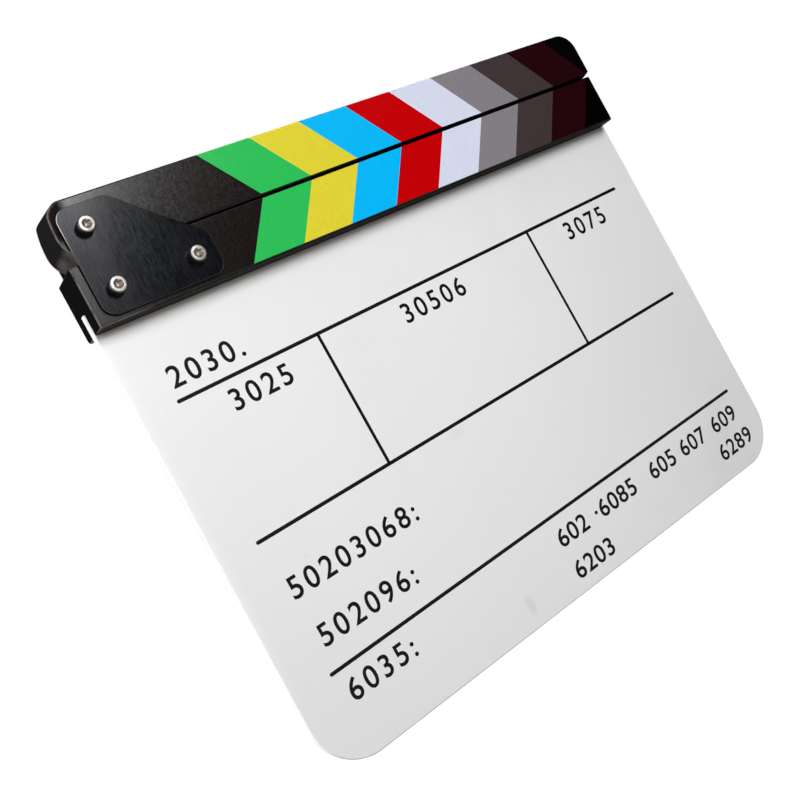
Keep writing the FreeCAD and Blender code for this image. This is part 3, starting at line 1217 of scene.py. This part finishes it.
@dataclass
class SlatePrint:
    """Ruled lines and field numbers printed on the slate's front, a little askew."""

    left: float = -132.8 * MM
    right: float = 135.9 * MM
    rule_heights: tuple[float, float, float] = (159.05 * MM, 96.1 * MM, 37.35 * MM)
    rule_width: float = 1.6 * MM
    divider_places: tuple[float, float] = (-63.6 * MM, 66.9 * MM)
    divider_width: float = 1.5 * MM
    turn: float = 0.73
    turn_centre: float = 96.4 * MM
    end_segments: int = 6
    end_roundness: float = 0.98
    ink_rise: float = 0.03 * MM
    ink_sink: float = 0.02 * MM
    digit_share: float = 0.69
    stroke_growth: float = 0.15 * MM
    merge_distance: float = 0.003 * MM
    fields: tuple[Field, ...] = (
        Field("2030.", -131.4 * MM, 164.2 * MM),
        Field("3025", -113.4 * MM, 145.4 * MM),
        Field("30506", -21.2 * MM, 145.4 * MM),
        Field("3075", 89.2 * MM, 145.6 * MM),
        Field("50203068:", -130.6 * MM, 69.4 * MM),
        Field("502096:", -129.2 * MM, 47.4 * MM),
        Field("6035:", -129.4 * MM, 23.2 * MM),
        Field("602", -6.8 * MM, 22.6 * MM, SMALL),
        Field("·6085", 18.4 * MM, 22.6 * MM, SMALL),
        Field("605", 60.6 * MM, 22.6 * MM, SMALL),
        Field("607", 85.6 * MM, 22.6 * MM, SMALL),
        Field("609", 112.4 * MM, 22.6 * MM, SMALL),
        Field("6203", -6.8 * MM, 6.3 * MM, SMALL),
        Field("6289", 108.4 * MM, 8.4 * MM, SMALL),
    )

    def depths(self) -> Pair:
        """Depths of the ink's skin and of its back, which is in the slate."""
        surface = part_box("slate_panel")[0].y
        return (surface - self.ink_rise, surface + self.ink_sink)

    def strip(self, name: str, low: Pair, high: Pair) -> bpy.types.Object:
        """Make one ruled line with round ends.

        Args:
            name: The line's name.
            low: Its lowest X and Z.
            high: Its highest X and Z.

        Returns:
            The line.
        """
        skin, back = self.depths()
        line = Bench.block(name, Vector((low[0], skin, low[1])), Vector((high[0], back, high[1])))
        half_width = min(high[0] - low[0], high[1] - low[1]) / 2
        Bench.select_edges(line, lambda start, end: abs(start.y - end.y) > self.ink_rise)
        bpy.ops.mesh.bevel(offset=half_width * self.end_roundness, segments=self.end_segments)
        bpy.ops.object.mode_set(mode="OBJECT")
        return line

    def rules(self) -> bpy.types.Object:
        """Make all the ruled lines.

        Returns:
            The lines as one piece.
        """
        half_rule = self.rule_width / 2
        half_divider = self.divider_width / 2
        lines = []
        for index, height in enumerate(self.rule_heights):
            low = (self.left, height - half_rule)
            lines.append(self.strip(f"rule_{index}", low, (self.right, height + half_rule)))
        top, bottom, _ = self.rule_heights
        for index, middle in enumerate(self.divider_places):
            low = (middle - half_divider, bottom)
            lines.append(self.strip(f"divider_{index}", low, (middle + half_divider, top)))
        return Bench.join(lines, "slate_rules")

    def number(self, field: Field) -> bpy.types.Object:
        """Make one field number.

        Args:
            field: The number and its place.

        Returns:
            The number as a mesh.
        """
        skin, back = self.depths()
        Bench.clear_selection()
        place = (field.x, (skin + back) / 2, field.z)
        bpy.ops.object.text_add(location=place, rotation=(math.pi / 2, 0, 0))
        text = bpy.context.active_object
        text.data.body = field.digits
        text.scale.x = field.lettering.breadth
        text.data.size = field.lettering.height / self.digit_share
        text.data.space_character = field.lettering.spacing
        text.data.offset = self.stroke_growth
        text.data.extrude = (back - skin) / 2
        bpy.ops.object.convert(target="MESH")
        number = bpy.context.active_object
        bpy.ops.object.mode_set(mode="EDIT")
        bpy.ops.mesh.select_all(action="SELECT")
        bpy.ops.mesh.remove_doubles(threshold=self.merge_distance)
        bpy.ops.mesh.normals_make_consistent(inside=False)
        bpy.ops.object.mode_set(mode="OBJECT")
        return Bench.settle(number, "field_" + field.digits)

    def set_askew(self, piece: bpy.types.Object) -> None:
        """Turn a printed piece by the small angle that the print sits at.

        Args:
            piece: The piece, which is the active object.
        """
        piece.location.z = -self.turn_centre
        bpy.ops.object.transform_apply(location=True)
        piece.rotation_euler.y = -math.radians(self.turn)
        piece.location.z = self.turn_centre
        bpy.ops.object.transform_apply(location=True, rotation=True)

    def build(self, paint: Paint) -> None:
        """Print the rules and numbers.

        Args:
            paint: Gives the ink.
        """
        rules = self.rules()
        self.set_askew(rules)
        numbers = Bench.join([self.number(field) for field in self.fields], "slate_numerals")
        self.set_askew(numbers)
        for piece in (rules, numbers):
            paint.on_piece(piece, Ink())
            Bench.ride_on_board(piece, Slot.PRINT)


@dataclass
class CapScrew:
    """Socket head cap screw, with a rounded rim and a threaded end."""

    head_diameter: float = 7.0 * MM
    head_height: float = 4.0 * MM
    rim_radius: float = 0.62 * MM
    rim_segments: int = 5
    shank_diameter: float = 4.0 * MM
    socket_sides: int = 6
    socket_width: float = 3.0 * MM
    socket_depth: float = 0.9 * MM
    socket_lead: float = 0.25 * MM
    mark_margin: float = 0.0625 * MM
    thread_pitch: float = 0.7 * MM
    thread_depth: float = 0.36 * MM
    thread_length: float = 8.0 * MM
    sides: int = 64
    seat_tolerance: float = 0.1 * MM
    smooth_angle: float = 35.0

    def head(self, name: str, centre: Pair, seat: float) -> bpy.types.Object:
        """Make the head as a round block with a rounded rim.

        Args:
            name: The screw's name.
            centre: X and Z of its axis.
            seat: Depth of the face that the head sits on.

        Returns:
            The head.
        """
        Bench.clear_selection()
        bpy.ops.mesh.primitive_cylinder_add(
            vertices=self.sides,
            radius=self.head_diameter / 2,
            depth=self.head_height,
            location=(centre[0], seat - self.head_height / 2, centre[1]),
            rotation=(math.pi / 2, 0, 0),
        )
        screw = Bench.settle(bpy.context.active_object, name)
        top = seat - self.head_height
        Bench.select_edges(screw, lambda start, end: max(start.y, end.y) < top + self.rim_radius)
        bpy.ops.mesh.bevel(offset=self.rim_radius, segments=self.rim_segments)
        bpy.ops.object.mode_set(mode="OBJECT")
        return screw

    def shank(self, screw: bpy.types.Object, centre: Pair, seat: float, tip: float) -> None:
        """Draw the shank out of the head's back, with thread ridges towards its tip.

        Args:
            screw: The head.
            centre: X and Z of its axis.
            seat: Depth of the face that the head sits on.
            tip: Depth of the shank's end.
        """
        radius = self.shank_diameter / 2
        root = (radius - self.thread_depth) / radius
        Bench.select_faces(
            screw, lambda middle, facing: facing.y > 0 and abs(middle.y - seat) < self.seat_tolerance
        )
        bpy.ops.mesh.inset(thickness=self.head_diameter / 2 - radius, depth=0)
        steps = math.floor(self.thread_length / self.thread_pitch)
        self.draw_out(tip - seat - steps * self.thread_pitch)
        depth = tip - steps * self.thread_pitch
        for step in range(steps):
            self.draw_out(self.thread_pitch / 2)
            depth += self.thread_pitch / 2
            self.draw_in(centre, depth, root)
            self.draw_out(self.thread_pitch / 2)
            depth += self.thread_pitch / 2
            if step < steps - 1:
                self.draw_in(centre, depth, 1 / root)
        bpy.ops.object.mode_set(mode="OBJECT")

    @staticmethod
    def draw_out(length: float) -> None:
        """Extrude the selected face towards the back."""
        bpy.ops.mesh.extrude_region_move(TRANSFORM_OT_translate={"value": (0, length, 0)})

    @staticmethod
    def draw_in(centre: Pair, depth: float, share: float) -> None:
        """Scale the selected face about the screw's axis."""
        middle = (centre[0], depth, centre[1])
        bpy.ops.transform.resize(value=(share, 1, share), center_override=middle)

    def socket(self, screw: bpy.types.Object, centre: Pair, seat: float) -> None:
        """Cut the hexagonal socket and its lead into the head.

        Args:
            screw: The screw.
            centre: X and Z of its axis.
            seat: Depth of the face that the head sits on.
        """
        top = seat - self.head_height
        corner = self.socket_width / 2 / math.cos(math.pi / self.socket_sides)
        lead = corner + self.socket_lead
        Bench.clear_selection()
        bpy.ops.mesh.primitive_cylinder_add(
            vertices=self.socket_sides,
            radius=corner,
            depth=2 * self.socket_depth,
            location=(centre[0], top, centre[1]),
            rotation=(math.pi / 2, 0, math.pi / self.socket_sides),
        )
        Bench.cut(screw, Bench.settle(bpy.context.active_object, "socket_cutter"))
        Bench.clear_selection()
        bpy.ops.mesh.primitive_cone_add(
            vertices=self.sides,
            radius1=2 * lead,
            radius2=0,
            depth=2 * lead,
            location=(centre[0], top, centre[1]),
            rotation=(-math.pi / 2, 0, 0),
        )
        Bench.cut(screw, Bench.settle(bpy.context.active_object, "lead_cutter"))
        # Marks the socket, where the finish draws painted light.
        mark = screw.data.attributes.new(SOCKET_MARK, "FLOAT", "FACE")
        axis = Vector((centre[0], 0, centre[1]))
        for face, value in zip(screw.data.polygons, mark.data):
            reach = (face.center - axis) * Vector((1, 0, 1))
            inside = top + self.mark_margin < face.center.y < seat
            value.value = float(inside and reach.length < corner)

    def build(self, name: str, centre: Pair, seat: float, tip: float) -> bpy.types.Object:
        """Make a whole screw.

        Args:
            name: The screw's name.
            centre: X and Z of its axis.
            seat: Depth of the face that the head sits on.
            tip: Depth of the shank's end.

        Returns:
            The screw.
        """
        screw = self.head(name, centre, seat)
        self.shank(screw, centre, seat, tip)
        self.socket(screw, centre, seat)
        bpy.ops.object.shade_smooth_by_angle(angle=math.radians(self.smooth_angle))
        return screw


@dataclass
class Hinge:
    """Two black plates, the screws through them, and the pivot that the clap stick turns on."""

    screw: CapScrew
    pivot_node: str = "pivot_screw"
    plate_screw_node: str = "plate_screws"

    def centre(self, node: str) -> Pair:
        """X and Z of the middle of a part."""
        low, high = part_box(node)
        return ((low.x + high.x) / 2, (low.z + high.z) / 2)

    def screws(self, paint: Paint) -> None:
        """Put finished screws in the place of the plain ones.

        Args:
            paint: Gives the plating.
        """
        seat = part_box("front_hinge_plate")[0].y
        low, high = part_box(self.plate_screw_node)
        first_centre = (low.x + self.screw.head_diameter / 2, (low.z + high.z) / 2)
        first = self.screw.build("plate_screw", first_centre, seat, high.y)
        second = Bench.copy(first, high.x - low.x - self.screw.head_diameter)
        plate_screws = Bench.join((first, second), "plate_cap_screws")
        pivot_centre = self.centre(self.pivot_node)
        pivot_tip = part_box(self.pivot_node)[1].y
        pivot = self.screw.build("pivot_cap_screw", pivot_centre, seat, pivot_tip)
        for piece, node in ((plate_screws, self.plate_screw_node), (pivot, self.pivot_node)):
            paint.on_piece(piece, SCREW_NICKEL)
            Bench.ride_on_board(piece, Slot.SCREW)
            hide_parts(node)

    def build(self, paint: Paint) -> None:
        """Dress the hinge's parts and make its screws.

        Args:
            paint: Gives the finishes.
        """
        self.screws(paint)
        paint.on_node("front_hinge_plate", CoatedPlate())
        paint.on_node("rear_hinge_plate", CoatedPlate(name="coated_rear_plate", wear=0.0))
        for node in ("plate_washers", "plate_nuts", "pivot_washer", "pivot_spring_washer", "pivot_lock_nut"):
            paint.on_node(node, ZINC)
        paint.on_node("pivot_sleeve", BRASS)
        for node in ("front_thrust_washer", "rear_thrust_washer"):
            paint.on_node(node, Nylon())


@dataclass
class Sticks:
    """Lower stick and clap stick, with their striped facings and the magnets that hold them shut."""

    lower_film: StripedFilm
    upper_film: StripedFilm

    def build(self, paint: Paint) -> None:
        """Dress the sticks.

        Args:
            paint: Gives the finishes.
        """
        clap_paint = PaintedWood(
            name="painted_clap_stick",
            # Painted sheen on the clap stick's ends, lighter than on the lower stick.
            end_sheen_colour=srgb(30, 29, 31),
            underside_polish=0.0,
            square_ends=False,
            film=self.upper_film,
        )
        paint.on_node("lower_stick", PaintedWood())
        paint.on_node("upper_stick", clap_paint)
        paint.on_node("lower_stick_facing", self.lower_film)
        paint.on_node("upper_stick_facing", self.upper_film)
        for node in ("lower_magnet", "upper_magnet"):
            paint.on_node(node, MAGNET_NICKEL)


@dataclass
class Slate:
    """White panel with its print and the screws that hold it in the lower stick."""

    markings: SlatePrint

    def build(self, paint: Paint) -> None:
        """Dress the panel and print on it.

        Args:
            paint: Gives the finishes.
        """
        paint.on_node("slate_panel", WhiteAcrylic())
        paint.on_node("slate_screws", ZINC)
        self.markings.build(paint)


@dataclass(frozen=True)
class Lamp:
    """Soft rectangular lamp that points at the middle of the board."""

    name: str
    place: Triple
    size: Pair
    power: float
    lean: float = 0.0

    def hang(self, target: Vector) -> None:
        """Put the lamp up.

        Args:
            target: Point that it shines at.
        """
        Bench.clear_selection()
        bpy.ops.object.light_add(type="AREA", location=self.place)
        lamp = bpy.context.active_object
        lamp.name = self.name
        lamp.data.shape = "RECTANGLE"
        lamp.data.size, lamp.data.size_y = self.size
        lamp.data.energy = self.power
        aim = (target - Vector(self.place)).to_track_quat("-Z", "Y").to_matrix()
        lamp.rotation_euler = (aim @ Matrix.Rotation(math.radians(self.lean), 3, "Z")).to_euler()
        lamp.visible_camera = False
        log.info("lamp %s hangs at %s", self.name, self.place)


@dataclass(frozen=True)
class WhiteFloor:
    """Floor that looks white where nothing shades it, and that keeps the object's shadow."""

    name: str = "white_floor"
    albedo: float = 0.35
    glow: float = 0.83
    shadow_share: float = 0.6

    def dress(self, graph: Graph) -> Wire:
        """Give the shader: a plain pale floor, lifted to white where it is seen.

        Args:
            graph: Nodes to add to.

        Returns:
            The shader.
        """
        plain = graph.node("ShaderNodeBsdfDiffuse", inputs={"Color": grey(self.albedo)})
        shaded = graph.node("ShaderNodeBsdfDiffuse", inputs={"Color": grey(self.shadow_share)})
        lift = graph.node("ShaderNodeEmission", inputs={"Strength": self.glow})
        white = graph.node("ShaderNodeAddShader", inputs={0: shaded, 1: lift})
        return graph.blend(seen_directly(graph), plain, white)


@dataclass(frozen=True)
class BlackCard:
    """Matt black card."""

    name: str = "black_card"
    colour: Colour = srgb(12, 12, 12)

    def dress(self, graph: Graph) -> Wire:
        """Give the shader."""
        return graph.node("ShaderNodeBsdfDiffuse", inputs={"Color": self.colour})


def seen_directly(graph: Graph) -> Wire:
    """Tell the rays that show a surface from those that only carry its light.

    Args:
        graph: Nodes to add to.

    Returns:
        1 on rays from the camera, a reflection or a clear piece, and 0 on the rest.
    """
    rays = [
        graph.node("ShaderNodeLightPath", output=name)
        for name in ("Is Camera Ray", "Is Glossy Ray", "Is Transmission Ray")
    ]
    return rays[0].largest(rays[1]).largest(rays[2])


@dataclass
class Studio:
    """White floor, white surroundings and soft lamps."""

    floor_size: float = 60.0
    floor_gap: float = 0.2 * MM
    surroundings: float = 0.3
    lamps: tuple[Lamp, ...] = (
        Lamp("strip_lamp", (0.12, -1.1, 0.58), (0.22, 0.6), 7.0, -25.0),
        Lamp("top_lamp", (0.33, -0.88, 0.7), (0.42, 0.32), 1.6),
        Lamp("left_lamp", (-0.85, -0.8, 0.5), (0.6, 0.6), 3.7),
        Lamp("edge_lamp", (-1.2, 0.35, 0.45), (0.6, 0.6), 7.5),
        Lamp("back_lamp", (0.5, 1.2, 0.9), (0.8, 0.8), 11.0),
    )
    card_start: Pair = (0.24, -0.86)
    card_end: Pair = (0.72, -0.1)
    card_height: float = 0.8
    card_slope: float = 0.38

    def stand_card(self, paint: Paint) -> None:
        """Stand a black card beside the camera, which keeps white glare off the dark faces.

        Args:
            paint: Gives the card's finish.
        """
        start = Vector(self.card_start)
        end = Vector(self.card_end)
        middle = (start + end) / 2
        Bench.clear_selection()
        bpy.ops.mesh.primitive_plane_add(
            size=1,
            location=(middle.x, middle.y, self.card_height / 2),
            rotation=(math.pi / 2, 0, math.atan2(end.y - start.y, end.x - start.x)),
            scale=((end - start).length, self.card_height, 1),
        )
        card = Bench.settle(bpy.context.active_object, "black_card")
        half = self.card_height / 2
        Bench.move_corners(card, lambda spot: spot.z > half and spot.x < middle.x, (0, 0, -self.card_slope))
        card.visible_camera = False
        paint.on_piece(card, BlackCard())

    def build(self, paint: Paint) -> None:
        """Lay the floor, set the surroundings and hang the lamps.

        Args:
            paint: Gives the floor's finish.
        """
        Bench.clear_selection()
        bpy.ops.mesh.primitive_plane_add(size=self.floor_size, location=(0, 0, -self.floor_gap))
        floor = Bench.settle(bpy.context.active_object, "floor")
        paint.on_piece(floor, WhiteFloor())
        self.stand_card(paint)
        world = bpy.data.worlds.new("surroundings")
        world.use_nodes = True
        graph = Graph(world.node_tree)
        seen = seen_directly(graph)
        strength = self.surroundings + (1 - self.surroundings) * seen
        sockets = {"Color": grey(1.0), "Strength": strength}
        graph.output(graph.node("ShaderNodeBackground", inputs=sockets), "ShaderNodeOutputWorld")
        bpy.context.scene.world = world
        middle = (cad_box[0] + cad_box[1]) / 2
        for lamp in self.lamps:
            lamp.hang(middle)


@dataclass
class Viewpoint:
    """Camera that stands to the reader's left and leans, so that the board leans in the picture."""

    place: Triple = (-274.55 * MM, -378.47 * MM, 116.52 * MM)
    turn_right: float = 31.489
    look_up: float = 0.219
    lean: float = -28.548
    lens: float = 45.763
    sensor: float = 36.0
    shift: Pair = (0.0018, -0.0034)
    nearest: float = 0.01
    farthest: float = 100.0

    def build(self) -> None:
        """Set up the camera."""
        Bench.clear_selection()
        bpy.ops.object.camera_add(location=self.place)
        camera = bpy.context.active_object
        heading = Matrix.Rotation(-math.radians(self.turn_right), 3, "Z")
        pitch = Matrix.Rotation(math.pi / 2 + math.radians(self.look_up), 3, "X")
        roll = Matrix.Rotation(math.radians(self.lean), 3, "Z")
        camera.rotation_euler = (heading @ pitch @ roll).to_euler()
        camera.data.lens = self.lens
        camera.data.sensor_width = self.sensor
        camera.data.shift_x, camera.data.shift_y = self.shift
        camera.data.clip_start = self.nearest
        camera.data.clip_end = self.farthest
        bpy.context.scene.camera = camera
        log.info("camera stands at %s", self.place)


def main() -> None:
    """Build the clapperboard's looks in order."""
    logging.basicConfig(level=logging.INFO, format="%(name)s: %(message)s")
    bpy.context.scene.view_settings.view_transform = "Standard"
    paint = Paint()
    lower_film = StripedFilm("lower_film", first_stripe=-60.75 * MM, stripe_width=25.8 * MM, gloss=0.2)
    upper_film = StripedFilm(
        "clap_film", first_stripe=-60.05 * MM, stripe_width=26.05 * MM, border=1.12 * MM, gloss=0.31
    )
    Slate(SlatePrint()).build(paint)
    Sticks(lower_film, upper_film).build(paint)
    Hinge(CapScrew()).build(paint)
    Studio().build(paint)
    Viewpoint().build()


if __name__ == "__main__":
    main()
